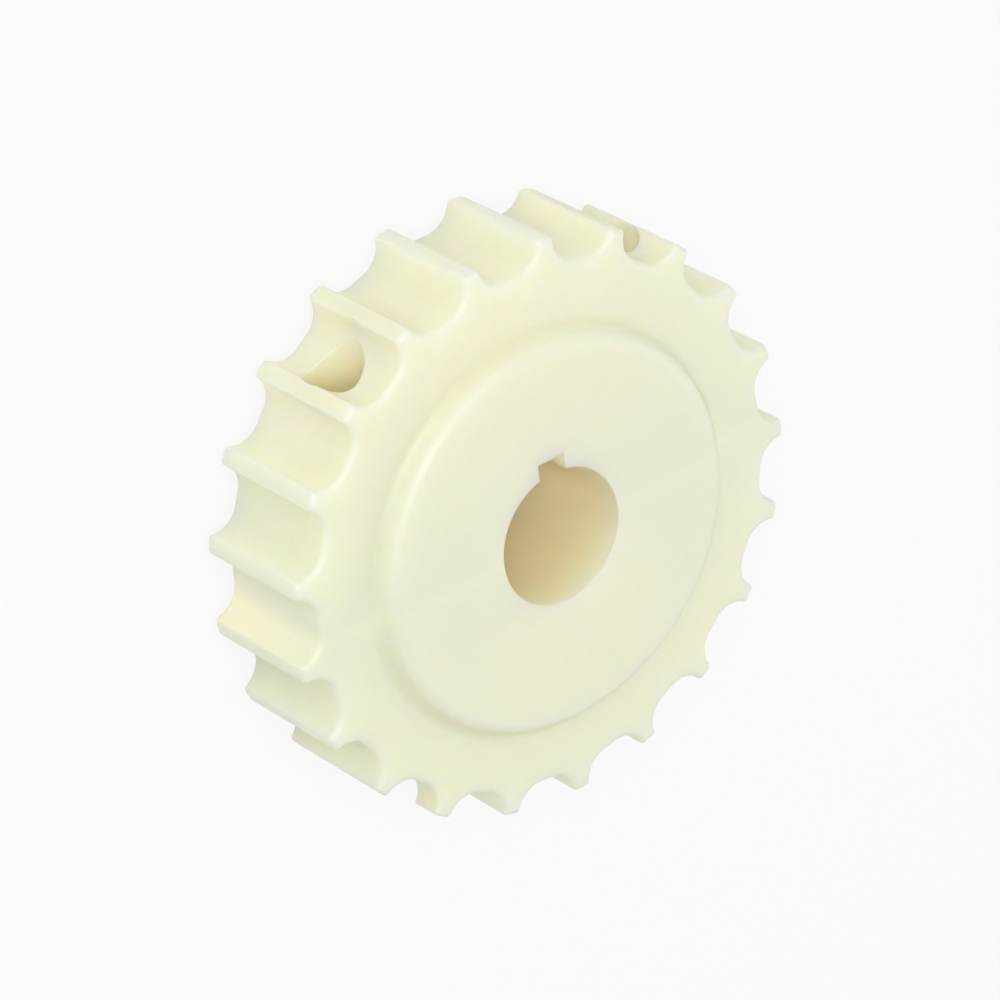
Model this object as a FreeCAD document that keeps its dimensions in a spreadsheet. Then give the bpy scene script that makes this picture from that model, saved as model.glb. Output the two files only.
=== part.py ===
"""Split sprocket for a flat-top conveyor chain.

A thick toothed wheel in natural polyamide, turned with a boss on each face, bored and
keyed for a shaft, and sawn in two through its axis so that it can be changed without
taking the shaft out. Two screws, one each side of the bore, pull the halves together:
their heads lie in deep counterbores that open between the teeth of the keyed half, and
their nuts lie in the same way in the plain half.

Frame: millimetres, +Z along the bore, Z = 0 on the back hub face, +Y through the keyway,
and the joint between the halves in the XZ plane.
"""
import FreeCAD, Part
import math
import os

import Sketcher

V = FreeCAD.Vector
FULL_TURN = 360.0
Z_AXIS = V(0, 0, 1)
START, END, CENTRE = range(1, 4)
SKETCH_ORIGIN = (-1, 1)
SKETCH_X_AXIS = -1
SKETCH_Y_AXIS = -2

# The driving sizes, in millimetres, apart from the number of teeth.
SIZES = [
    ("teeth", 21, "number of teeth, two to each pitch of the chain"),
    ("chain_pitch", 38.1, "pitch of the chain"),
    ("tip_rise", 1.8, "tooth tips above the pitch circle"),
    ("seat_depth", 4.25, "floor of a tooth gap below the pitch circle"),
    ("seat_width", 3.2, "flat floor of a tooth gap"),
    ("flank_radius", 6.2, "hollow flanks of the teeth"),
    ("tip_ease", 0.8, "rounding of the tip corners"),
    ("tooth_width", 32.0, "width of the teeth"),
    ("tooth_edge", 1.5, "rounding round the teeth on both faces"),
    ("hub_dia", 88.6, "boss on each face, at its end"),
    ("hub_spread", 2.3, "boss's foot beyond its end, all round"),
    ("hub_rise", 4.6, "boss above the face of the teeth"),
    ("hub_edge", 3.0, "rounding of the boss's rim"),
    ("hub_foot", 2.6, "hollow rounding at the boss's foot"),
    ("bore_dia", 31.2, "bore"),
    ("key_width", 7.1, "keyway across"),
    ("key_depth", 3.3, "keyway beyond the bore"),
    ("bore_edge", 0.2, "rounding of the mouth of the bore"),
    ("screw_offset", 37.0, "each clamp screw from the middle plane"),
    ("screw_dia", 8.0, "clamp screw"),
    ("screw_reach", 3.6, "screw's point beyond its nut"),
    ("screw_play", 0.5, "clearance round the screw in the halves"),
    ("head_dia", 13.0, "screw head"),
    ("head_height", 8.0, "screw head"),
    ("head_ease", 0.8, "chamfer of the screw head"),
    ("socket_flats", 6.0, "hexagon socket across its flats"),
    ("socket_depth", 4.0, "hexagon socket"),
    ("point_chamfer", 1.0, "chamfer of the screw's point"),
    ("head_play", 0.3, "clearance round the screw head in its counterbore"),
    ("head_seat", 19.0, "seat of the head from the joint"),
    ("nut_seat", 19.0, "seat of the washer from the joint"),
    ("washer_dia", 16.0, "washer under the nut"),
    ("washer_hole", 8.4, "washer, inside"),
    ("washer_thick", 1.6, "washer"),
    ("washer_play", 0.25, "clearance round the washer in its counterbore"),
    ("nut_flats", 13.0, "nut across its flats"),
    ("nut_height", 6.8, "nut"),
    ("nut_bevel", 0.7, "height of the bevel on the nut's corners"),
    ("thread_play", 0.05, "clearance between the screw and the nut"),
]

doc = FreeCAD.newDocument("split_sprocket")
sheet = doc.addObject("Spreadsheet::Sheet", "dims")
for row, (alias, value, note) in enumerate(SIZES, start=1):
    sheet.set("A%d" % row, str(value))
    sheet.setAlias("A%d" % row, alias)
    sheet.set("B%d" % row, note)
doc.recompute()

# Sizes that follow from the driving ones.
PITCH_RADIUS = "dims.chain_pitch / (2 * sin(2 * 180 / dims.teeth))"
TIP_RADIUS = "(" + PITCH_RADIUS + " + dims.tip_rise)"
FLOOR_RADIUS = "(" + PITCH_RADIUS + " - dims.seat_depth)"
HUB_LENGTH = "(dims.tooth_width + 2 * dims.hub_rise)"
HUB_RIM = "(dims.hub_dia / 2)"
HUB_FOOT = "(dims.hub_dia / 2 + dims.hub_spread)"
OUTSIDE = "(2 * " + TIP_RADIUS + ")"
HEAD_BORE = "(dims.head_dia + 2 * dims.head_play)"
NUT_BORE = "(dims.washer_dia + 2 * dims.washer_play)"
NUT_END = "(dims.nut_seat + dims.washer_thick + dims.nut_height)"
SCREW_LENGTH = "(dims.head_seat + " + NUT_END + " + dims.screw_reach)"


def size(expression):
    """The present value of an expression of the sheet's sizes, as a plain number."""
    value = sheet.evalExpression(expression)
    return float(getattr(value, "Value", value))


def plane(body, role):
    """One of a body's own origin planes or axes."""
    return [item for item in body.Origin.OriginFeatures if item.Role == role][0]


def add_body(name):
    body = doc.addObject("PartDesign::Body", name)
    body.Label = name
    return body


def add_sketch(body, name, role, offset=None):
    """A sketch on an origin plane of the body, lifted off it by an expression."""
    sketch = body.newObject("Sketcher::SketchObject", name)
    sketch.AttachmentSupport = [(plane(body, role), "")]
    sketch.MapMode = "FlatFace"
    if offset:
        sketch.setExpression("AttachmentOffset.Base.z", offset)
    return sketch


def add_size(sketch, name, constraint, expression):
    """A named dimension of a sketch that follows the sheet."""
    index = sketch.addConstraint(constraint)
    sketch.renameConstraint(index, name)
    sketch.setExpression("Constraints." + name, expression)


def add_circle(sketch, name, diameter, along=None):
    """A circle on the sketch's origin, or at a place along its X axis."""
    place = size(along) if along else 0.0
    circle = sketch.addGeometry(Part.Circle(V(place, 0, 0), Z_AXIS, size(diameter) / 2))
    if along:
        sketch.addConstraint(Sketcher.Constraint("PointOnObject", circle, CENTRE, SKETCH_X_AXIS))
        reach = Sketcher.Constraint("DistanceX", *SKETCH_ORIGIN, circle, CENTRE, place)
        add_size(sketch, name + "_place", reach, along)
    else:
        sketch.addConstraint(Sketcher.Constraint("Coincident", circle, CENTRE, *SKETCH_ORIGIN))
    add_size(sketch, name, Sketcher.Constraint("Diameter", circle, size(diameter)), diameter)
    return circle


def add_hexagon(sketch, name, flats):
    """A regular hexagon round the sketch's origin, two of its corners on the X axis."""
    corner_radius = size(flats) / 3 ** 0.5
    corners = [FreeCAD.Rotation(Z_AXIS, 60 * i).multVec(V(corner_radius, 0, 0)) for i in range(6)]
    sides = []
    for i in range(6):
        sides.append(sketch.addGeometry(Part.LineSegment(corners[i], corners[(i + 1) % 6])))
    ring = sketch.addGeometry(Part.Circle(V(0, 0, 0), Z_AXIS, corner_radius), True)
    sketch.addConstraint(Sketcher.Constraint("Coincident", ring, CENTRE, *SKETCH_ORIGIN))
    for i in range(6):
        following = sides[(i + 1) % 6]
        sketch.addConstraint(Sketcher.Constraint("Coincident", sides[i], END, following, START))
        sketch.addConstraint(Sketcher.Constraint("PointOnObject", sides[i], START, ring))
        if i:
            sketch.addConstraint(Sketcher.Constraint("Equal", sides[0], sides[i]))
    sketch.addConstraint(Sketcher.Constraint("PointOnObject", sides[0], START, SKETCH_X_AXIS))
    across = Sketcher.Constraint("Distance", *SKETCH_ORIGIN, sides[1], size(flats) / 2)
    add_size(sketch, name, across, flats + " / 2")


def add_outline(sketch, corners):
    """A closed outline of straight lines through the corners, which stay as placed."""
    lines = []
    for i, corner in enumerate(corners):
        lines.append(sketch.addGeometry(Part.LineSegment(V(*corner, 0), V(*corners[i - 1], 0))))
    for i, line in enumerate(lines):
        sketch.addConstraint(Sketcher.Constraint("Coincident", line, END, lines[i - 1], START))
    return lines


def add_bevel(sketch, name, end, drop):
    """A triangle that takes a nut's corners down from the height end at its flats to the
    height drop twice as far out as its corners stand beyond the flats."""
    flat = "dims.nut_flats / 2"
    beyond = "dims.nut_flats * (2 / sqrt(3) - 1 / 2)"
    points = [(size(flat), size(end)), (size(beyond), size(drop)), (size(beyond), size(end))]
    face, slope, wall = add_outline(sketch, points)
    sketch.addConstraint(Sketcher.Constraint("Horizontal", face))
    sketch.addConstraint(Sketcher.Constraint("Vertical", wall))
    for label, kind, line, amount in (
            ("_flat", "DistanceX", face, flat), ("_beyond", "DistanceX", slope, beyond),
            ("_end", "DistanceY", face, end), ("_drop", "DistanceY", slope, drop)):
        limit = Sketcher.Constraint(kind, *SKETCH_ORIGIN, line, START, size(amount))
        add_size(sketch, name + label, limit, amount)


def add_pad(body, name, sketch, length, symmetric=False, backward=False):
    pad = body.newObject("PartDesign::Pad", name)
    pad.Profile = sketch
    pad.setExpression("Length", length)
    pad.Midplane = symmetric
    pad.Reversed = backward
    return pad


def add_pocket(body, name, sketch, length=None, symmetric=True, backward=False):
    """A pocket of the given depth, or right through the body where none is given."""
    pocket = body.newObject("PartDesign::Pocket", name)
    pocket.Profile = sketch
    if length:
        pocket.setExpression("Length", length)
    else:
        pocket.Type = "ThroughAll"
    pocket.Midplane = symmetric
    pocket.Reversed = backward
    return pocket


def add_rounding(body, name, base, radius, wanted):
    """Round the edges of the base for which wanted(edge) is true."""
    doc.recompute()
    names = ["Edge%d" % i for i, edge in enumerate(base.Shape.Edges, start=1) if wanted(edge)]
    rounding = body.newObject("PartDesign::Fillet", name)
    rounding.Base = (base, names)
    rounding.setExpression("Radius", radius)
    return rounding


def is_level(edge, height, inside, outside):
    """True for an edge that lies flat at the height, above or below the middle plane,
    and whose middle is no nearer to the axis and no further out than given."""
    box = edge.BoundBox
    middle = edge.valueAt((edge.FirstParameter + edge.LastParameter) / 2)
    distance = V(middle.x, middle.y, 0).Length
    flat = box.ZLength < 1e-6 and abs(abs(box.ZMin) - height) < 1e-6
    return flat and inside - 1e-6 < distance < outside + 1e-6


def is_upright(edge, distance):
    """True for a straight edge along Z at the distance from the axis."""
    box = edge.BoundBox
    start = edge.Vertexes[0].Point
    straight = box.XLength < 1e-6 and box.YLength < 1e-6
    return straight and abs(V(start.x, start.y, 0).Length - distance) < 1e-3


def add_gap_sketch(body):
    """One tooth gap at +Y: a flat floor, two hollow flanks, and open past the tips."""
    sketch = add_sketch(body, "gap_outline", "XY_Plane")
    floor, half_seat = size(FLOOR_RADIUS), size("dims.seat_width / 2")
    radius, top = size("dims.flank_radius"), size("2 * dims.flank_radius + " + FLOOR_RADIUS)
    side = half_seat + radius
    centre = floor + radius
    quarter = math.pi / 2
    seat = sketch.addGeometry(Part.LineSegment(V(-half_seat, floor, 0), V(half_seat, floor, 0)))
    right_circle = Part.Circle(V(half_seat, centre, 0), Z_AXIS, radius)
    right = sketch.addGeometry(Part.ArcOfCircle(right_circle, -quarter, 0))
    right_wall = sketch.addGeometry(Part.LineSegment(V(side, centre, 0), V(side, top, 0)))
    lid = sketch.addGeometry(Part.LineSegment(V(side, top, 0), V(-side, top, 0)))
    left_wall = sketch.addGeometry(Part.LineSegment(V(-side, top, 0), V(-side, centre, 0)))
    left_circle = Part.Circle(V(-half_seat, centre, 0), Z_AXIS, radius)
    left = sketch.addGeometry(Part.ArcOfCircle(left_circle, 2 * quarter, 3 * quarter))
    for constraint in (
            Sketcher.Constraint("Symmetric", seat, START, seat, END, SKETCH_Y_AXIS),
            Sketcher.Constraint("Tangent", seat, END, right, START),
            Sketcher.Constraint("Tangent", right, END, right_wall, START),
            Sketcher.Constraint("Vertical", right_wall),
            Sketcher.Constraint("Coincident", right_wall, END, lid, START),
            Sketcher.Constraint("Horizontal", lid),
            Sketcher.Constraint("Coincident", lid, END, left_wall, START),
            Sketcher.Constraint("Vertical", left_wall),
            Sketcher.Constraint("Tangent", left_wall, END, left, START),
            Sketcher.Constraint("Tangent", left, END, seat, START),
            Sketcher.Constraint("Equal", left, right)):
        sketch.addConstraint(constraint)
    add_size(sketch, "seat", Sketcher.Constraint("Distance", seat, 2 * half_seat), "dims.seat_width")
    add_size(sketch, "flank", Sketcher.Constraint("Radius", right, radius), "dims.flank_radius")
    level = Sketcher.Constraint("DistanceY", *SKETCH_ORIGIN, seat, END, floor)
    add_size(sketch, "floor", level, FLOOR_RADIUS)
    height = Sketcher.Constraint("DistanceY", *SKETCH_ORIGIN, lid, START, top)
    add_size(sketch, "lid", height, "2 * dims.flank_radius + " + FLOOR_RADIUS)
    return sketch


def add_toothed_rim(body):
    """The disc, its tooth gaps, and the rounding of every tooth."""
    disc = add_sketch(body, "rim_outline", "XY_Plane")
    add_circle(disc, "rim", OUTSIDE)
    add_pad(body, "rim", disc, "dims.tooth_width", symmetric=True)
    gap = add_pocket(body, "tooth_gap", add_gap_sketch(body))
    gaps = body.newObject("PartDesign::PolarPattern", "tooth_gaps")
    gaps.Originals = [gap]
    gaps.Axis = (plane(body, "Z_Axis"), [""])
    gaps.Angle = FULL_TURN
    gaps.setExpression("Occurrences", "dims.teeth")
    body.Tip = gaps
    tip = size(TIP_RADIUS)
    eased = add_rounding(body, "tip_easing", gaps, "dims.tip_ease", lambda edge: is_upright(edge, tip))
    face = size("dims.tooth_width / 2")
    floor = size(FLOOR_RADIUS)
    return add_rounding(body, "tooth_edges", eased, "dims.tooth_edge",
                        lambda edge: is_level(edge, face, floor, tip))


def add_hub(body):
    """The boss on both faces, turned as one: it widens to a hollow foot, and its rim is
    rounded."""
    rim, foot = size(HUB_RIM), size(HUB_FOOT)
    face, top = size("dims.tooth_width / 2"), size(HUB_LENGTH + " / 2")
    outline = add_sketch(body, "hub_outline", "XZ_Plane")
    end, slope, wall, back_slope, back_end, middle = add_outline(
        outline, [(rim, top), (foot, face), (foot, -face), (rim, -top), (0, -top), (0, top)])
    for constraint in (
            Sketcher.Constraint("Horizontal", end),
            Sketcher.Constraint("Horizontal", back_end),
            Sketcher.Constraint("PointOnObject", middle, START, SKETCH_Y_AXIS),
            Sketcher.Constraint("PointOnObject", middle, END, SKETCH_Y_AXIS),
            Sketcher.Constraint("Symmetric", wall, START, wall, END, SKETCH_X_AXIS),
            Sketcher.Constraint("Symmetric", end, START, back_slope, START, SKETCH_X_AXIS)):
        outline.addConstraint(constraint)
    for label, kind, line, amount in (
            ("rim", "DistanceX", end, HUB_RIM), ("top", "DistanceY", end, HUB_LENGTH + " / 2"),
            ("foot", "DistanceX", slope, HUB_FOOT), ("face", "DistanceY", slope, "dims.tooth_width / 2")):
        limit = Sketcher.Constraint(kind, *SKETCH_ORIGIN, line, START, size(amount))
        add_size(outline, label, limit, amount)
    hub = body.newObject("PartDesign::Revolution", "hub")
    hub.Profile = outline
    hub.ReferenceAxis = (outline, ["V_Axis"])
    feet = add_rounding(body, "hub_feet", hub, "dims.hub_foot",
                        lambda edge: is_level(edge, face, foot, foot))
    return add_rounding(body, "hub_rims", feet, "dims.hub_edge",
                        lambda edge: is_level(edge, top, rim, rim))


def add_keyed_bore(body):
    """The bore, the keyway along it at +Y, and the rounding of both mouths."""
    circle = add_sketch(body, "bore_outline", "XY_Plane")
    add_circle(circle, "bore", "dims.bore_dia")
    add_pocket(body, "bore", circle)
    slot = add_sketch(body, "keyway_outline", "XY_Plane")
    half, floor = size("dims.key_width / 2"), size("dims.bore_dia / 2 + dims.key_depth")
    sides = add_outline(slot, [(half, 0), (half, floor), (-half, floor), (-half, 0)])
    for index, kind in enumerate(("Horizontal", "Vertical", "Horizontal", "Vertical")):
        slot.addConstraint(Sketcher.Constraint(kind, sides[index]))
    ends = (sides[0], START, sides[0], END)
    slot.addConstraint(Sketcher.Constraint("Symmetric", *ends, *SKETCH_ORIGIN))
    add_size(slot, "across", Sketcher.Constraint("Distance", sides[0], 2 * half), "dims.key_width")
    deep = Sketcher.Constraint("Distance", sides[1], floor)
    add_size(slot, "deep", deep, "dims.bore_dia / 2 + dims.key_depth")
    keyway = add_pocket(body, "keyway", slot)
    top = size(HUB_LENGTH + " / 2")
    return add_rounding(body, "bore_mouths", keyway, "dims.bore_edge",
                        lambda edge: is_level(edge, top, 0, floor))


def add_screw_holes(body):
    """Two clearance holes along Y at half width, with a counterbore from each side."""
    around = ("-dims.screw_offset", "dims.screw_offset")
    holes = (
        ("screw_hole", "dims.screw_dia + 2 * dims.screw_play", None),
        ("head_counterbore", HEAD_BORE, "-dims.head_seat"),
        ("nut_counterbore", NUT_BORE, "dims.nut_seat"),
    )
    for name, diameter, seat in holes:
        sketch = add_sketch(body, name + "_outline", "XZ_Plane", seat)
        for index, place in enumerate(around):
            add_circle(sketch, "hole%d" % index, diameter, place)
        add_pocket(body, name, sketch, symmetric=seat is None, backward=name == "nut_counterbore")


def add_half(name, wheel, side):
    """The part of the wheel on one side of the joint, side being +1 or -1 along Y."""
    room = doc.addObject("Part::Box", name + "_side")
    for key in ("Length", "Width", "Height"):
        room.setExpression(key, OUTSIDE)
    room.setExpression("Placement.Base.x", "-" + OUTSIDE + " / 2")
    room.setExpression("Placement.Base.y", "%s * %s" % ("0" if side > 0 else "-1", OUTSIDE))
    room.setExpression("Placement.Base.z", "(" + HUB_LENGTH + " - " + OUTSIDE + ") / 2")
    half = doc.addObject("Part::Common", name)
    half.Label = name
    half.Base = wheel
    half.Tool = room
    return half


def place_on_screw_line(body, side, seat):
    """Stand a fastener on its seat, its own Z along +Y, on the screw line at +X or -X."""
    body.Placement = FreeCAD.Placement(V(0, 0, 0), FreeCAD.Rotation(V(1, 0, 0), -90))
    body.setExpression("Placement.Base.x", "%d * dims.screw_offset" % side)
    body.setExpression("Placement.Base.y", seat)
    body.setExpression("Placement.Base.z", HUB_LENGTH + " / 2")


def add_screw(name, side):
    """A socket head cap screw: its Z = 0 is the underside of its head."""
    body = add_body(name)
    head_outline = add_sketch(body, name + "_head_outline", "XY_Plane")
    add_circle(head_outline, "head", "dims.head_dia")
    add_pad(body, name + "_head", head_outline, "dims.head_height")
    shank_outline = add_sketch(body, name + "_shank_outline", "XY_Plane")
    add_circle(shank_outline, "shank", "dims.screw_dia")
    shank = add_pad(body, name + "_shank", shank_outline, SCREW_LENGTH, backward=True)
    doc.recompute()
    for suffix, height, amount in (
            ("_head_ease", size("dims.head_height"), "dims.head_ease"),
            ("_point", -size(SCREW_LENGTH), "dims.point_chamfer")):
        base = body.Tip
        names = []
        for i, edge in enumerate(base.Shape.Edges, start=1):
            if edge.BoundBox.ZLength < 1e-6 and abs(edge.BoundBox.ZMin - height) < 1e-6:
                names.append("Edge%d" % i)
        chamfer = body.newObject("PartDesign::Chamfer", name + suffix)
        chamfer.Base = (base, names)
        chamfer.setExpression("Size", amount)
        doc.recompute()
    socket_outline = add_sketch(body, name + "_socket_outline", "XY_Plane", "dims.head_height")
    add_hexagon(socket_outline, "socket", "dims.socket_flats")
    add_pocket(body, name + "_socket", socket_outline, "dims.socket_depth", symmetric=False)
    place_on_screw_line(body, side, "dims.head_seat")
    return body


def add_washer(name, side):
    """A plain washer: its Z = 0 is the face against the nut."""
    body = add_body(name)
    outline = add_sketch(body, name + "_outline", "XY_Plane")
    add_circle(outline, "outside", "dims.washer_dia")
    add_circle(outline, "inside", "dims.washer_hole")
    add_pad(body, name + "_ring", outline, "dims.washer_thick")
    place_on_screw_line(body, side, "-(dims.nut_seat + dims.washer_thick)")
    return body


def add_nut(name, side):
    """A hexagon nut, bevelled at both ends: its Z = 0 is the face away from the washer."""
    body = add_body(name)
    outline = add_sketch(body, name + "_outline", "XY_Plane")
    add_hexagon(outline, "flats", "dims.nut_flats")
    add_pad(body, name + "_block", outline, "dims.nut_height")
    hole = add_sketch(body, name + "_hole_outline", "XY_Plane")
    add_circle(hole, "thread", "dims.screw_dia + 2 * dims.thread_play")
    add_pocket(body, name + "_hole", hole)
    bevels = add_sketch(body, name + "_bevels", "XZ_Plane")
    add_bevel(bevels, "lower", "0", "2 * dims.nut_bevel")
    add_bevel(bevels, "upper", "dims.nut_height", "dims.nut_height - 2 * dims.nut_bevel")
    groove = body.newObject("PartDesign::Groove", name + "_corners")
    groove.Profile = bevels
    groove.ReferenceAxis = (plane(body, "Z_Axis"), [""])
    groove.Angle = FULL_TURN
    place_on_screw_line(body, side, "-" + NUT_END)
    return body


def build():
    """All the pieces, in the order in which they go together."""
    wheel = add_body("whole_wheel")
    add_toothed_rim(wheel)
    add_hub(wheel)
    add_keyed_bore(wheel)
    add_screw_holes(wheel)
    wheel.setExpression("Placement.Base.z", HUB_LENGTH + " / 2")
    pieces = [add_half("keyway_half", wheel, 1), add_half("plain_half", wheel, -1)]
    for word, side in (("left", -1), ("right", 1)):
        pieces.append(add_screw("clamp_screw_" + word, side))
        pieces.append(add_washer("nut_washer_" + word, side))
        pieces.append(add_nut("hex_nut_" + word, side))
    return pieces


def check_and_write(pieces):
    """Refuse a failed feature or an empty shape, then write each piece to its own file."""
    doc.recompute()
    for item in doc.Objects:
        if "Invalid" in item.State or "Error" in item.State:
            raise RuntimeError("%s failed: %s" % (item.Name, item.State))
    for piece in pieces:
        if piece.Shape.isNull() or not piece.Shape.isValid() or len(piece.Shape.Solids) != 1:
            raise RuntimeError("%s has no single valid solid" % piece.Label)
    os.makedirs("parts", exist_ok=True)
    for piece in pieces:
        piece.Shape.exportStep(os.path.join("parts", piece.Label + ".step"))
        print("%-20s %10.1f mm3" % (piece.Label, piece.Shape.Volume))


check_and_write(build())
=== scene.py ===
# %% [markdown]
# # A split sprocket in natural polyamide
# The real object is a thick toothed wheel for a conveyor chain. It is machined from a cream,
# slightly translucent plastic, and sawn in two through its axis, so that it can be changed
# without taking the shaft out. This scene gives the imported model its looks: the milky
# plastic, the steel screws and nuts deep in their holes, the light and the camera.
#
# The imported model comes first, because every size and place below is read from it. Its
# objects are in metres, sit at the origin, and keep their shapes.

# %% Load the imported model
import math
from types import SimpleNamespace

import bpy
from mathutils import Matrix, Vector


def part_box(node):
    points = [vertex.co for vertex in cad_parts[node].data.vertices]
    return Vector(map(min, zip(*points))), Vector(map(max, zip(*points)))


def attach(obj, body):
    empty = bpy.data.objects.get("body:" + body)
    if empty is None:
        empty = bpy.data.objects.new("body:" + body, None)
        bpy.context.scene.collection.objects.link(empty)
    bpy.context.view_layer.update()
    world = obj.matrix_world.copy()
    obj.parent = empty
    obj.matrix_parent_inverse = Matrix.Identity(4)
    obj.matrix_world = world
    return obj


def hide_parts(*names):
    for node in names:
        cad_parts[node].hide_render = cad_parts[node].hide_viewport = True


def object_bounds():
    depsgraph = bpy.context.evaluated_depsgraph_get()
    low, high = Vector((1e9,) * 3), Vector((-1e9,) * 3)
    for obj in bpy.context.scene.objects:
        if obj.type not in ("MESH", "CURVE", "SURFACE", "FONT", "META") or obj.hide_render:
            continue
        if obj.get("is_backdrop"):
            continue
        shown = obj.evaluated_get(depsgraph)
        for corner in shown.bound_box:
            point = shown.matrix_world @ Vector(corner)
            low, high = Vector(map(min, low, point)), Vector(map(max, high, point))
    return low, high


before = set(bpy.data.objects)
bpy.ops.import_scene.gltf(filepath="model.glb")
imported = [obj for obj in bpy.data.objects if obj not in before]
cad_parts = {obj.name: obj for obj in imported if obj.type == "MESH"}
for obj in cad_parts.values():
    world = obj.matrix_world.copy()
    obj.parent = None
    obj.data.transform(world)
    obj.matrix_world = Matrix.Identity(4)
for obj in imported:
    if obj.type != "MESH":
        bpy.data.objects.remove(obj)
MM = 0.001
cad_low, cad_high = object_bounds()
wheel_height = cad_high.z
print("pieces:", ", ".join(sorted(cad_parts)))
print("wheel height in mm:", round(wheel_height / MM, 2))

# %% [markdown]
# ## The camera
# The photograph shows the front face a little from one side, through a long lens, so the
# teeth at the back are hardly smaller than those in front. The wheel lies on its back boss
# here. A camera that looks down on it, turned about its own line of sight, sees exactly what
# the photograph shows. An aim, two angles, a distance and a turn are easier to read and
# change than a matrix, so the camera is built from those.

# %% Place the camera
CAMERA_AIM = Vector((-0.24 * MM, 1.36 * MM, wheel_height / 2))
CAMERA_AZIMUTH = math.radians(134.475)
CAMERA_ELEVATION = math.radians(45.534)
CAMERA_DISTANCE = 1156.98 * MM
CAMERA_TURN = math.radians(117.76)
CAMERA_LENS = 194.04
SENSOR_WIDTH = 36.0


def direction(azimuth, elevation):
    """The unit vector that points from the object at these angles, in radians."""
    level = math.cos(elevation)
    return Vector((level * math.cos(azimuth), level * math.sin(azimuth), math.sin(elevation)))


def add_object(name, data):
    """An object that holds this data, in the scene's own collection."""
    made = bpy.data.objects.new(name, data)
    bpy.context.scene.collection.objects.link(made)
    return made


def make_camera():
    data = bpy.data.cameras.new("camera")
    data.sensor_width = SENSOR_WIDTH
    data.lens = CAMERA_LENS
    camera = add_object("camera", data)
    outward = direction(CAMERA_AZIMUTH, CAMERA_ELEVATION)
    level = (-outward).to_track_quat("-Z", "Y").to_matrix().to_4x4()
    place = Matrix.Translation(CAMERA_AIM + CAMERA_DISTANCE * outward)
    camera.matrix_world = place @ level @ Matrix.Rotation(CAMERA_TURN, 4, "Z")
    bpy.context.scene.camera = camera
    return camera


camera = make_camera()
print("camera stands at, in mm:", [round(c / MM, 1) for c in camera.location])

# %% [markdown]
# ## Helpers for materials
# A procedural material is a small graph of nodes. Most of its lines would only create a node
# and join two sockets, so a few helpers do that. `add_node` makes a node and sets its
# sockets, and a value that is itself a socket is linked instead of copied. The others are
# short names for the nodes that come up most: arithmetic, a distance, a ramp and a noise.

# %% Helpers for materials
def new_material(name):
    """A material with an empty Principled shader, and its tree, ready for more nodes."""
    material = bpy.data.materials.new(name)
    material.use_nodes = True
    tree = material.node_tree
    return material, tree, tree.nodes["Principled BSDF"]


def add_node(tree, kind, settings=None, **inputs):
    """A node with its properties and inputs set. Underscores stand for spaces in input names,
    and in0, in1 and in2 are inputs by number."""
    node = tree.nodes.new(kind)
    for key, value in (settings or {}).items():
        setattr(node, key, value)
    for key, value in inputs.items():
        numbered = key[:2] == "in" and key[2:].isdigit()
        socket = node.inputs[int(key[2:]) if numbered else key.replace("_", " ")]
        if isinstance(value, bpy.types.NodeSocket):
            tree.links.new(value, socket)
        else:
            socket.default_value = value
    return node


def math_node(tree, operation, first, second=0.0, third=0.0, clamp=False):
    settings = {"operation": operation, "use_clamp": clamp}
    return add_node(tree, "ShaderNodeMath", settings, in0=first, in1=second, in2=third).outputs[0]


def distance(tree, along, across):
    """How far a point is from an axis, given its two coordinates square to that axis."""
    both = add_node(tree, "ShaderNodeCombineXYZ", X=along, Y=across).outputs[0]
    length = add_node(tree, "ShaderNodeVectorMath", {"operation": "LENGTH"}, in0=both)
    return length.outputs["Value"]


def ramp(tree, value, start, end, low=0.0, high=1.0):
    """From low at start to high at end, and level beyond."""
    node = add_node(tree, "ShaderNodeMapRange", Value=value, From_Min=start, From_Max=end,
                    To_Min=low, To_Max=high)
    return node.outputs["Result"]


def noise(tree, position, scale, detail):
    node = add_node(tree, "ShaderNodeTexNoise", Vector=position, Scale=scale, Detail=detail)
    return node.outputs["Fac"]


print("made the helpers for materials")

# %% [markdown]
# ## Natural polyamide: places that look different
# The plastic is one material, yet it looks different where little sky reaches, along the
# joint and round the screw holes. Those places could be painted by hand on an image, but
# that needs an unwrapped surface and would not follow a change of size. A shader can measure
# them instead, from the object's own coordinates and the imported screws. The next cells only
# turn these measures into colour, depth and relief.
#
# Ambient Occlusion tells how open the sky is over a point: 1 on a flat face, and near 0 at
# the bottom of a hole. The halves are separate bodies, so the joint needs a measure too.

# %% Measure places on the wheel
SHADE_REACH = 40 * MM
SHADE_RAYS = 6
SHUT_IN_RANGE = (0.50, 0.20)
JOINT_FADE = 12.0 * MM

low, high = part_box("clamp_screw_right")
screw_line = (low + high) / 2


def places_on_wheel(tree):
    """Sockets that tell where on the wheel a point lies."""
    place = add_node(tree, "ShaderNodeTexCoord").outputs["Object"]
    x, y, z = add_node(tree, "ShaderNodeSeparateXYZ", Vector=place).outputs
    off_joint = math_node(tree, "ABSOLUTE", y)
    beside_screw = math_node(tree, "SUBTRACT", math_node(tree, "ABSOLUTE", x), screw_line.x)
    above_screw = math_node(tree, "SUBTRACT", z, screw_line.z)
    sky = add_node(tree, "ShaderNodeAmbientOcclusion", {"samples": SHADE_RAYS},
                   Distance=SHADE_REACH)
    return SimpleNamespace(
        place=place,
        off_axis=distance(tree, x, y),
        off_joint=off_joint,
        off_screws=distance(tree, beside_screw, above_screw),
        milky=math_node(tree, "DIVIDE", off_joint, JOINT_FADE, clamp=True),
        open_sky=sky.outputs["AO"],
        shut_in=ramp(tree, sky.outputs["AO"], *SHUT_IN_RANGE),
    )


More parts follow.
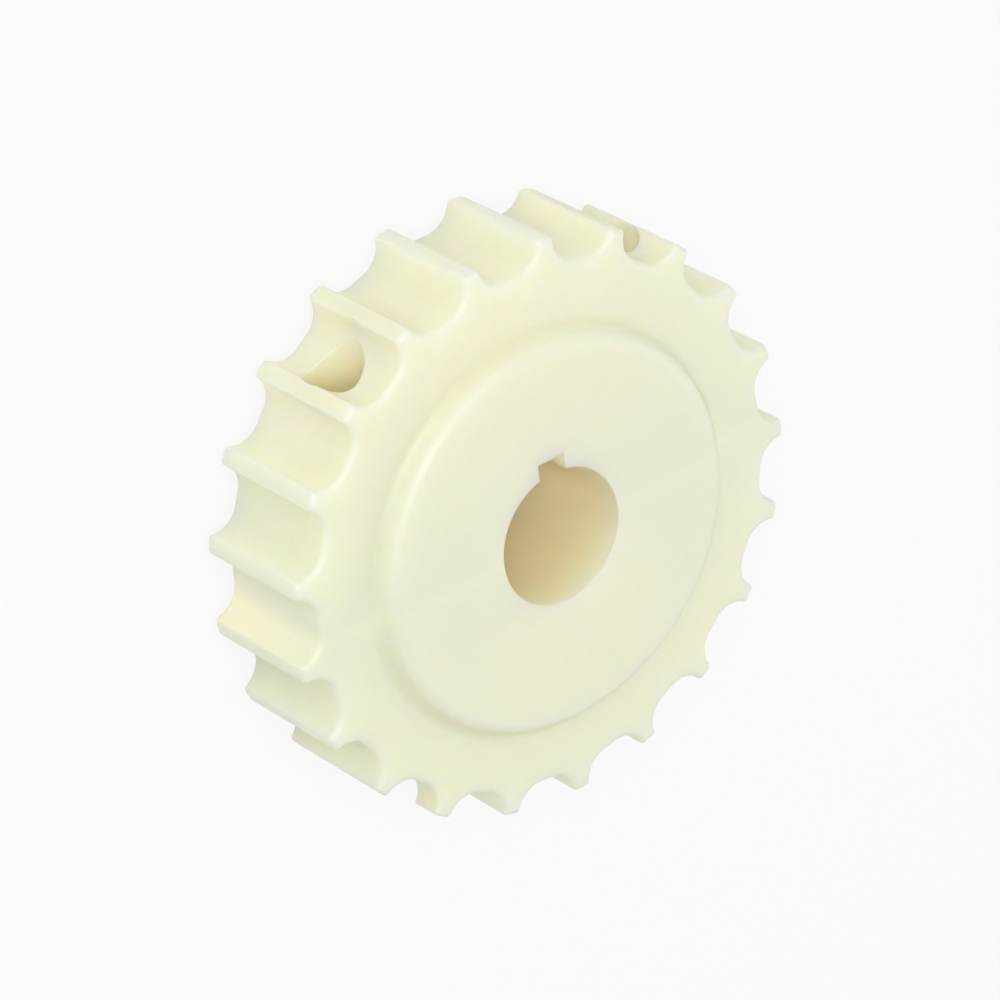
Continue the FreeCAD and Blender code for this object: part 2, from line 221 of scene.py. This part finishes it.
print("screw lines beside the axis and above the floor, in mm:",
      round(screw_line.x / MM, 2), round(screw_line.z / MM, 2))

# %% [markdown]
# ## Natural polyamide: colour, with painted light and shade
# The bare plastic is cream, with faint clouds. In the bore and the screw holes light is
# thrown from wall to wall, and each time it comes back more yellow. A path tracer gives that
# only in part, so light and shade are painted into the colour: a paler, yellower painted
# glow where the sky is half shut out, and a warmer painted shade where little is left of
# it. The holes get less of that painted shade than the bore, since light comes in through
# the thin wall beside them and leaves them golden.
#
# Near the joint the milky effect of the next step fades out, which would leave the plastic a
# little darker there, so a small painted brightening makes up for it.

# %% Colour of the polyamide
CREAM = (0.870, 0.880, 0.695, 1.0)
WARM_CREAM = (0.882, 0.872, 0.658, 1.0)
CLOUD_SIZE = 30 * MM
CLOUD_DETAIL = 3.0
# Painted bounce light: paler and yellower where the sky is half shut out.
PAINTED_GLOW_COLOUR = (1.0, 0.96, 0.74, 1.0)
PAINTED_GLOW_RANGE = (0.62, 0.50)
# Painted warm shade: a deeper yellow where little sky is left, in the bore and holes.
PAINTED_SHADE_COLOUR = (1.0, 0.84, 0.55, 1.0)
THIN_WALL = (9.0 * MM, 22.0 * MM)
# The share of the painted warm shade that is kept beside the screw holes.
HOLE_PAINTED_SHADE = 0.7
# Painted light: a small brightening near the joint, where the milky effect fades.
JOINT_PAINTED_LIGHT = (1.03, 1.03, 0.99, 1.0)


def mix_colour(tree, factor, first, second, blend_type="MIX"):
    """The second colour over the first. Each is a colour or a socket."""
    settings = {"data_type": "RGBA", "blend_type": blend_type, "clamp_result": True}
    node = add_node(tree, "ShaderNodeMix", settings)
    for socket, value in (("Factor", factor), ("A", first), ("B", second)):
        if isinstance(value, bpy.types.NodeSocket):
            tree.links.new(value, node.inputs[socket])
        else:
            node.inputs[socket].default_value = value
    return node.outputs["Result"]


def polyamide_colour(tree, at):
    clouds = noise(tree, at.place, 1 / CLOUD_SIZE, CLOUD_DETAIL)
    cream = mix_colour(tree, clouds, CREAM, WARM_CREAM)
    # Painted bounce light where the sky is half shut out.
    painted_glow = mix_colour(tree, ramp(tree, at.open_sky, *PAINTED_GLOW_RANGE), cream, PAINTED_GLOW_COLOUR)
    # Painted warm shade where little sky is left, weaker beside the screw holes.
    painted_shade_scale = ramp(tree, at.off_screws, *THIN_WALL, low=HOLE_PAINTED_SHADE)
    painted_shade_share = math_node(tree, "MULTIPLY", at.shut_in, painted_shade_scale)
    with_painted_light = mix_colour(tree, painted_shade_share, painted_glow, PAINTED_SHADE_COLOUR)
    near_joint = math_node(tree, "SUBTRACT", 1.0, at.milky)
    # Painted light near the joint, to make up for the milky effect that fades there.
    return mix_colour(tree, near_joint, with_painted_light, JOINT_PAINTED_LIGHT, "MULTIPLY")


print("cream:", CREAM[:3], "honey:", PAINTED_GLOW_COLOUR[:3], "painted_shade:", PAINTED_SHADE_COLOUR[:3])

# %% [markdown]
# ## Natural polyamide: light in the plastic
# Unfilled polyamide is milky: light goes a centimetre or more into it and comes out warmer,
# which softens every edge. A lighter colour could only make the surface paler. Subsurface
# scattering is the very effect, so it does the work here, with red light going further than
# blue.
#
# Two places need less of it. At the joint the halves are separate bodies, and the walk of
# the light would stop there with a dark band, so the effect fades towards it. Beside a screw
# hole the wall is thin, and the dark hole would show through as a grey patch, so the light
# goes less deep. Shut-in places keep the full depth, because they live from that light.

# %% Light in the polyamide
LIGHT_REACH = (1.0, 0.75, 0.42)
LIGHT_DEPTH = 18.0 * MM
THIN_WALL_DEPTH = 0.1
PLASTIC_IOR = 1.53


def let_light_in(tree, shader, at):
    wall = ramp(tree, at.off_screws, *THIN_WALL, low=THIN_WALL_DEPTH)
    share = math_node(tree, "MAXIMUM", wall, at.shut_in)
    depth = math_node(tree, "MULTIPLY", share, LIGHT_DEPTH)
    tree.links.new(at.milky, shader.inputs["Subsurface Weight"])
    tree.links.new(depth, shader.inputs["Subsurface Scale"])
    shader.inputs["Subsurface Radius"].default_value = LIGHT_REACH
    shader.inputs["IOR"].default_value = PLASTIC_IOR


print("light goes this deep, in mm:", round(LIGHT_DEPTH / MM, 1))

# %% [markdown]
# ## Natural polyamide: traces of the machining
# A close look shows the fine rings that the lathe tool leaves on the flat faces, a dry grain
# everywhere, and a thin line where the halves meet. They are a few hundredths of a millimetre
# high. Modelled, they would take millions of faces, so a Bump node tilts the surface instead.
#
# The sharp edges of the solids are broken by a Bevel node in the shader, as a file would do
# it. It stays off the joint, because it would round the two halves into a false groove.

# %% Relief of the polyamide
RING_PITCH = 0.35 * MM
RING_SHARE = 0.12
FLAT_ENOUGH = 0.98
GRAIN_SIZE = 0.8 * MM
GRAIN_DETAIL = 4.0
JOINT_LINE = 0.10 * MM
JOINT_SHARE = -0.3
RELIEF_HEIGHT = 0.02 * MM
PLASTIC_RELIEF = 0.18
PLASTIC_ROUGHNESS = 0.42
EDGE_ROUNDING = 0.35 * MM
EDGE_RAYS = 4


def machined_relief(tree, at):
    """The height of the surface: grain, with the lathe rings and the joint line on it."""
    turns = math_node(tree, "MULTIPLY", at.off_axis, 2 * math.pi / RING_PITCH)
    rings = math_node(tree, "SINE", turns)
    normal = add_node(tree, "ShaderNodeNewGeometry").outputs["True Normal"]
    upward = add_node(tree, "ShaderNodeSeparateXYZ", Vector=normal).outputs["Z"]
    level = math_node(tree, "ABSOLUTE", upward)
    on_faces = math_node(tree, "GREATER_THAN", level, FLAT_ENOUGH)
    ring_height = math_node(tree, "MULTIPLY", rings, on_faces)
    grain = noise(tree, at.place, 1 / GRAIN_SIZE, GRAIN_DETAIL)
    relief = math_node(tree, "MULTIPLY_ADD", ring_height, RING_SHARE, grain)
    joint = math_node(tree, "LESS_THAN", at.off_joint, JOINT_LINE / 2)
    return math_node(tree, "MULTIPLY_ADD", joint, JOINT_SHARE, relief)


def broken_edges(tree, at):
    """The normal with every edge but the joint's a little rounded."""
    beyond = math_node(tree, "GREATER_THAN", at.off_joint, 2 * EDGE_ROUNDING)
    rounding = math_node(tree, "MULTIPLY", beyond, EDGE_ROUNDING)
    return add_node(tree, "ShaderNodeBevel", {"samples": EDGE_RAYS}, Radius=rounding).outputs[0]


def add_relief(tree, shader, strength, height, **more):
    bump = add_node(tree, "ShaderNodeBump", Strength=strength, Distance=RELIEF_HEIGHT,
                    Height=height, **more)
    tree.links.new(bump.outputs[0], shader.inputs["Normal"])


print("lathe rings are this far apart, in mm:", round(RING_PITCH / MM, 2))

# %% [markdown]
# ## Natural polyamide: the whole material
# Colour, light and relief come together on one shader, and both halves get it. The packed
# pieces keep their shapes, so only their material is exchanged.

# %% Make the polyamide and dress the halves
def polyamide():
    material, tree, shader = new_material("natural_polyamide")
    at = places_on_wheel(tree)
    tree.links.new(polyamide_colour(tree, at), shader.inputs["Base Color"])
    let_light_in(tree, shader, at)
    add_relief(tree, shader, PLASTIC_RELIEF, machined_relief(tree, at),
               Normal=broken_edges(tree, at))
    shader.inputs["Roughness"].default_value = PLASTIC_ROUGHNESS
    return material


def dress(node, material):
    """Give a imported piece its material, in place of the one it came with."""
    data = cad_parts[node].data
    if not data.materials:
        data.materials.append(None)
    for index in range(len(data.materials)):
        data.materials[index] = material


plastic = polyamide()
for half in ("keyway_half", "plain_half"):
    dress(half, plastic)
print("dressed the halves in", plastic.name)

# %% [markdown]
# ## Stainless steel
# The screws, washers and nuts are stainless. They lie deep in their holes, so they need only
# a plain bright metal with the fine streaks of turned stock. An image of brushed metal would
# have to be wrapped round each piece. A noise stretched round the screw line needs no
# wrapping: it changes the roughness a little, and a light bump breaks the reflections.

# %% Make the steel
STEEL = (0.62, 0.61, 0.60, 1.0)
STREAK_SCALE = (400.0, 6000.0, 400.0)
STREAK_DETAIL = 3.0
STEEL_ROUGHNESS = 0.20
STREAK_ROUGHNESS = 0.16
STEEL_RELIEF = 0.15


def stainless():
    material, tree, shader = new_material("stainless_steel")
    place = add_node(tree, "ShaderNodeTexCoord").outputs["Object"]
    stretched = add_node(tree, "ShaderNodeMapping", Vector=place, Scale=STREAK_SCALE).outputs[0]
    streaks = noise(tree, stretched, 1.0, STREAK_DETAIL)
    roughness = math_node(tree, "MULTIPLY_ADD", streaks, STREAK_ROUGHNESS, STEEL_ROUGHNESS)
    tree.links.new(roughness, shader.inputs["Roughness"])
    add_relief(tree, shader, STEEL_RELIEF, streaks)
    shader.inputs["Base Color"].default_value = STEEL
    shader.inputs["Metallic"].default_value = 1.0
    return material


steel = stainless()
print("made", steel.name)

# %% [markdown]
# ## Turned pieces
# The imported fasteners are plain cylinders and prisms. The real ones have a knurled head with
# a hexagon socket, a rolled thread and bevelled corners, so each is drawn again on its own
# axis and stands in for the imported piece.
#
# All three are turned shapes with something that changes round the axis. Cutting a hexagon
# or a thread out of a cylinder with Booleans would be slow and leave ragged faces. So one
# helper joins a row of rings, and each ring is a function that gives the radius and height
# at an angle. A hexagon, a knurl and a thread are then one line each. The number of points
# in a ring divides by six, so the corners of a hexagon are sharp.

# %% Join rings into a turned piece
RING_POINTS = 72
SHARP_ANGLE = math.radians(28)


def ring(radius, height):
    return lambda angle: (radius, height)


def hexagon(flats, angle):
    """How far the outline of a hexagon is from its middle, with a corner at angle 0."""
    return flats / 2 / math.cos(angle % (math.pi / 3) - math.pi / 6)


def turned_piece(name, rings, ends=None):
    """A mesh through the rings. It closes on itself, or else at two heights on the axis."""
    angles = [2 * math.pi * i / RING_POINTS for i in range(RING_POINTS)]
    points, faces = [], []
    for shape in rings:
        for angle in angles:
            radius, height = shape(angle)
            points.append((radius * math.cos(angle), radius * math.sin(angle), height))
    rows = len(rings) if ends is None else len(rings) - 1
    for row in range(rows):
        below, above = row * RING_POINTS, (row + 1) % len(rings) * RING_POINTS
        for i in range(RING_POINTS):
            j = (i + 1) % RING_POINTS
            faces.append((below + i, below + j, above + j, above + i))
    if ends is not None:
        last = (len(rings) - 1) * RING_POINTS
        points += [(0.0, 0.0, ends[0]), (0.0, 0.0, ends[1])]
        for i in range(RING_POINTS):
            j = (i + 1) % RING_POINTS
            faces.append((len(points) - 2, j, i))
            faces.append((len(points) - 1, last + i, last + j))
    mesh = bpy.data.meshes.new(name)
    mesh.from_pydata(points, [], faces)
    mesh.shade_smooth()
    mesh.set_sharp_from_angle(angle=SHARP_ANGLE)
    return add_object(name, mesh)


print("points in each ring:", RING_POINTS)

# %% [markdown]
# ## Clamp screws
# Two socket head cap screws pull the halves together on the shaft. The shank is a row of
# rings in which the groove of the thread turns a little further each time, and the head goes
# on where the shank stops. A Screw modifier could wind the thread too, but it would need an
# end of its own and a join to the shank, and here both are part of the same mesh.
#
# The thread fades out below the head and narrows at the point, as a rolled thread does.

# %% Draw a clamp screw
SHANK_RADIUS = 4.0 * MM
POINT_CHAMFER = 1.0 * MM
THREAD_PITCH = 1.25 * MM
THREAD_DEPTH = 0.70 * MM
THREAD_LENGTH = 28 * MM
THREAD_FADE = 2 * MM
THREAD_STEPS = 8
THREAD_SLOPE = 1.25
THREAD_CREST = 0.12
HEAD_HEIGHT = 8.0 * MM
HEAD_CHAMFER = 0.7 * MM
HEAD_EASE = 0.3 * MM
HEAD_SEAT_EASE = 0.4 * MM
KNURL_DEPTH = 0.14 * MM
SOCKET_FLATS = 6.0 * MM
SOCKET_DEPTH = 4.0 * MM
SOCKET_LEAD = 0.75 * MM
SOCKET_LEAD_DEPTH = 0.35 * MM
SOCKET_FLOOR_EASE = 0.3 * MM
SOCKET_FLOOR_STEP = 0.1 * MM
DRILL_POINT = 1.2 * MM


def thread(height, length):
    """One ring of the shank at this height below the head, the thread cut into it."""
    above_point = height + length
    fade = min(1.0, max(0.0, (THREAD_LENGTH - above_point) / THREAD_FADE))
    widest = min(SHANK_RADIUS, SHANK_RADIUS - POINT_CHAMFER + above_point)

    def shape(angle):
        phase = (height / THREAD_PITCH - angle / (2 * math.pi)) % 1.0
        groove = min(1.0, max(0.0, THREAD_SLOPE * abs(2 * phase - 1) - THREAD_CREST))
        return min(widest, SHANK_RADIUS - THREAD_DEPTH * fade * groove), height
    return shape


def socket_rings(top):
    """The hexagon socket in the head's top, from its mouth down to its floor."""
    floor = top - SOCKET_DEPTH
    return [
        ring(SOCKET_FLATS / 2 + SOCKET_LEAD, top),
        lambda angle: (hexagon(SOCKET_FLATS, angle), top - SOCKET_LEAD_DEPTH),
        lambda angle: (hexagon(SOCKET_FLATS, angle), floor),
        ring(SOCKET_FLATS / 2 - SOCKET_FLOOR_EASE, floor - SOCKET_FLOOR_STEP),
    ]


def cap_screw(name, length, head_radius):
    """A socket head screw, its Z = 0 under the head."""
    def knurl(angle):
        return head_radius - KNURL_DEPTH * abs(math.sin(angle * RING_POINTS / 4))

    steps = int((THREAD_LENGTH + THREAD_FADE) / THREAD_PITCH * THREAD_STEPS)
    rings = [thread(-length + i * THREAD_PITCH / THREAD_STEPS, length) for i in range(steps + 1)]
    rings += [
        ring(SHANK_RADIUS, -HEAD_EASE), ring(SHANK_RADIUS + HEAD_EASE, 0.0),
        ring(head_radius - HEAD_SEAT_EASE, 0.0),
        lambda angle: (knurl(angle), HEAD_EASE),
        lambda angle: (knurl(angle), HEAD_HEIGHT - HEAD_CHAMFER),
        ring(head_radius - HEAD_CHAMFER, HEAD_HEIGHT),
    ]
    rings += socket_rings(HEAD_HEIGHT)
    return turned_piece(name, rings, ends=(-length, HEAD_HEIGHT - SOCKET_DEPTH - DRILL_POINT))


print("thread pitch and length in mm:", THREAD_PITCH / MM, round(THREAD_LENGTH / MM, 1))

# %% [markdown]
# ## Nuts and washers
# A nut sits at the far end of each screw, on a plain washer that spreads its pull over the
# plastic. Both are closed rows of rings: out over one face, along the outside, in over the
# other face and back through the hole. The nut's corners are bevelled by a cone, as on the
# real one, which gives the curved line on each flat without any cutting.

# %% Draw a nut and a washer
NUT_HEIGHT = 6.8 * MM
NUT_HOLE = 4.05 * MM
NUT_EASE = 0.35 * MM
NUT_FACE = 0.475
NUT_BEVEL = math.radians(30)
WASHER_HOLE = 4.2 * MM
WASHER_EASE = 0.2 * MM


def hex_nut(name, flats):
    """A nut, its Z = 0 on the face away from the washer."""
    face = NUT_FACE * flats

    def corner(angle, at_top):
        radius = hexagon(flats, angle)
        drop = (radius - face) * math.tan(NUT_BEVEL)
        return radius, NUT_HEIGHT - drop if at_top else drop

    return turned_piece(name, [
        ring(NUT_HOLE, NUT_EASE), ring(NUT_HOLE + NUT_EASE, 0.0), ring(face, 0.0),
        lambda angle: corner(angle, False), lambda angle: corner(angle, True),
        ring(face, NUT_HEIGHT), ring(NUT_HOLE + NUT_EASE, NUT_HEIGHT),
        ring(NUT_HOLE, NUT_HEIGHT - NUT_EASE),
    ])


def washer(name, radius, thick):
    """A washer, its Z = 0 on the face against the nut."""
    ease = WASHER_EASE
    return turned_piece(name, [
        ring(WASHER_HOLE, ease), ring(WASHER_HOLE + ease, 0.0), ring(radius - ease, 0.0),
        ring(radius, ease), ring(radius, thick - ease), ring(radius - ease, thick),
        ring(WASHER_HOLE + ease, thick), ring(WASHER_HOLE, thick - ease),
    ])


print("nut height in mm:", round(NUT_HEIGHT / MM, 2))

# %% [markdown]
# ## Fasteners in their places
# The screws lie across the wheel, with their heads towards the keyway. Each drawn piece goes
# to the middle of the imported one's box, its own Z along +Y, so it follows if the model
# changes. It rides on the root body and gets the steel, and the imported piece is hidden.

# %% Put the fasteners in place
def stand_in(piece, node, seat):
    """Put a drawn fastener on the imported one's axis, its own Z along +Y, and let it ride."""
    low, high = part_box(node)
    middle = (low + high) / 2
    turn = Matrix.Rotation(math.radians(-90), 4, "X")
    piece.matrix_world = Matrix.Translation((middle.x, seat, middle.z)) @ turn
    piece.data.materials.append(steel)
    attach(piece, "root")
    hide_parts(node)


for side in ("left", "right"):
    low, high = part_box("clamp_screw_" + side)
    under_head = high.y - HEAD_HEIGHT
    screw = cap_screw("drawn_screw_" + side, under_head - low.y, (high.x - low.x) / 2)
    stand_in(screw, "clamp_screw_" + side, under_head)
    low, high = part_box("nut_washer_" + side)
    stand_in(washer("drawn_washer_" + side, (high.x - low.x) / 2, high.y - low.y),
             "nut_washer_" + side, low.y)
    low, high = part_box("hex_nut_" + side)
    stand_in(hex_nut("drawn_nut_" + side, high.z - low.z), "hex_nut_" + side, low.y)
    print("drew the fasteners on the", side)

# %% [markdown]
# ## Floor
# The photograph's background is an even, near white. A wide floor gives that from every
# side. Lit alone it would be grey in one view and burnt out in another. So to the camera it
# is mostly a plain white emission and for a small share a lit white surface: it stays pale
# and still keeps the wheel's soft shadow. The same goes for rays that mirror off the steel.

# %% Make the floor
FLOOR_SIZE = 12.0
FLOOR_COLOUR = (0.97, 0.97, 0.97, 1.0)
FLOOR_GLOW = (0.969, 0.969, 0.969, 1.0)
SHADOW_SHARE = 0.1


def seen_directly(tree):
    """1 for rays from the camera, or mirrored or refracted on their way from it, else 0."""
    path = add_node(tree, "ShaderNodeLightPath").outputs
    seen = math_node(tree, "MAXIMUM", path["Is Camera Ray"], path["Is Glossy Ray"])
    return math_node(tree, "MAXIMUM", seen, path["Is Transmission Ray"])


def floor_material():
    material, tree, shader = new_material("pale_floor")
    shader.inputs["Base Color"].default_value = FLOOR_COLOUR
    shader.inputs["Roughness"].default_value = 1.0
    shader.inputs["Specular IOR Level"].default_value = 0.0
    glow = add_node(tree, "ShaderNodeEmission", Color=FLOOR_GLOW, Strength=1.0)
    share = math_node(tree, "MULTIPLY", seen_directly(tree), 1 - SHADOW_SHARE)
    mix = add_node(tree, "ShaderNodeMixShader", in0=share, in1=shader.outputs[0],
                   in2=glow.outputs[0])
    tree.links.new(mix.outputs[0], tree.nodes["Material Output"].inputs["Surface"])
    return material


def make_floor():
    half = FLOOR_SIZE / 2
    corners = ((-half, -half), (half, -half), (half, half), (-half, half))
    mesh = bpy.data.meshes.new("floor")
    mesh.from_pydata([(x, y, cad_low.z) for x, y in corners], [], [(0, 1, 2, 3)])
    mesh.materials.append(floor_material())
    add_object("floor", mesh)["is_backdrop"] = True


make_floor()
print("floor at z, in mm:", round(abs(cad_low.z) / MM, 2))

# %% [markdown]
# ## World
# Behind the floor the world is as pale, and apart from that it gives the soft light that
# comes from everywhere in a studio. The two jobs need different strengths, so the same test
# as on the floor sets what the camera sees apart from what lights the wheel.

# %% Make the world
BACKGROUND = (0.956, 0.956, 0.956, 1.0)
WORLD_COLOUR = (1.0, 1.0, 1.0, 1.0)
WORLD_LIGHT = 0.5


def make_world():
    world = bpy.data.worlds.new("studio")
    bpy.context.scene.world = world
    world.use_nodes = True
    tree = world.node_tree
    light = tree.nodes["Background"]
    light.inputs["Color"].default_value = WORLD_COLOUR
    light.inputs["Strength"].default_value = WORLD_LIGHT
    pale = add_node(tree, "ShaderNodeBackground", Color=BACKGROUND, Strength=1.0)
    mix = add_node(tree, "ShaderNodeMixShader", in0=seen_directly(tree), in1=light.outputs[0],
                   in2=pale.outputs[0])
    tree.links.new(mix.outputs[0], tree.nodes["World Output"].inputs["Surface"])


make_world()
bpy.context.scene.view_settings.view_transform = "Standard"
print("strength of the world's light:", WORLD_LIGHT)

# %% [markdown]
# ## Lamps
# The photograph is lit almost evenly, and the light reaches deep into the bore. The world
# alone would light the wheel as evenly, but leave the bore dark. So a small front lamp near
# the line of sight looks into the bore and the gaps. A wide lamp from behind keeps the far
# teeth bright, and a faint key looks into the screw holes. Each is placed by the angle from
# which it shines on the wheel.

# %% Place the lamps
LAMPS = {
    "key": {"azimuth": 100.0, "elevation": 22.0, "distance": 0.9, "size": 0.8, "power": 0.6},
    "front": {"azimuth": 134.0, "elevation": 50.0, "distance": 1.1, "size": 0.4, "power": 4.9},
    "back": {"azimuth": 330.0, "elevation": 30.0, "distance": 1.1, "size": 0.9, "power": 2.2},
}


def make_lamp(name, azimuth, elevation, distance, size, power):
    data = bpy.data.lights.new(name, "AREA")
    data.size = size
    data.energy = power
    lamp = add_object(name, data)
    outward = direction(math.radians(azimuth), math.radians(elevation))
    lamp.location = CAMERA_AIM + distance * outward
    lamp.rotation_euler = (-outward).to_track_quat("-Z", "Y").to_euler()


for name, values in LAMPS.items():
    make_lamp(name, **values)
print("lamps:", ", ".join(LAMPS))

# %% Measure the bounds of everything but the floor
low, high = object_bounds()
